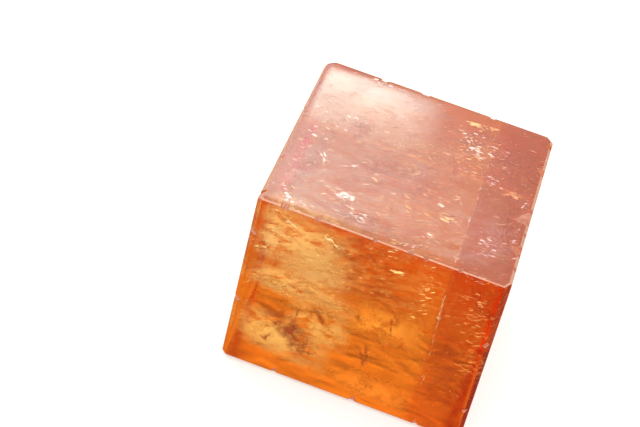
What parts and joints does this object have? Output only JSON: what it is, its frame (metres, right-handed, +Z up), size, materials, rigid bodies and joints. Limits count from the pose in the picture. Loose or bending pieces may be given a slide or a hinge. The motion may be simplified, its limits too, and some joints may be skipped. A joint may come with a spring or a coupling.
{
  "type": "polished calcite block",
  "caption": "Solid near-rectangular block of honey-orange optical calcite, polished on every side, with narrow edge bevels and small stepped nicks. Free-standing display stone.",
  "frame": {"origin": "middle of the footprint, at the flat underside", "axes": "+X to the right along the front edge, +Y from front to back, +Z up through the top face"},
  "size_m": [0.0582, 0.0614, 0.044],
  "materials": {
    "honey_calcite": "polished"
  },
  "bodies": {
    "root": {"calcite_block": "honey_calcite"}
  },
  "joints": []
}
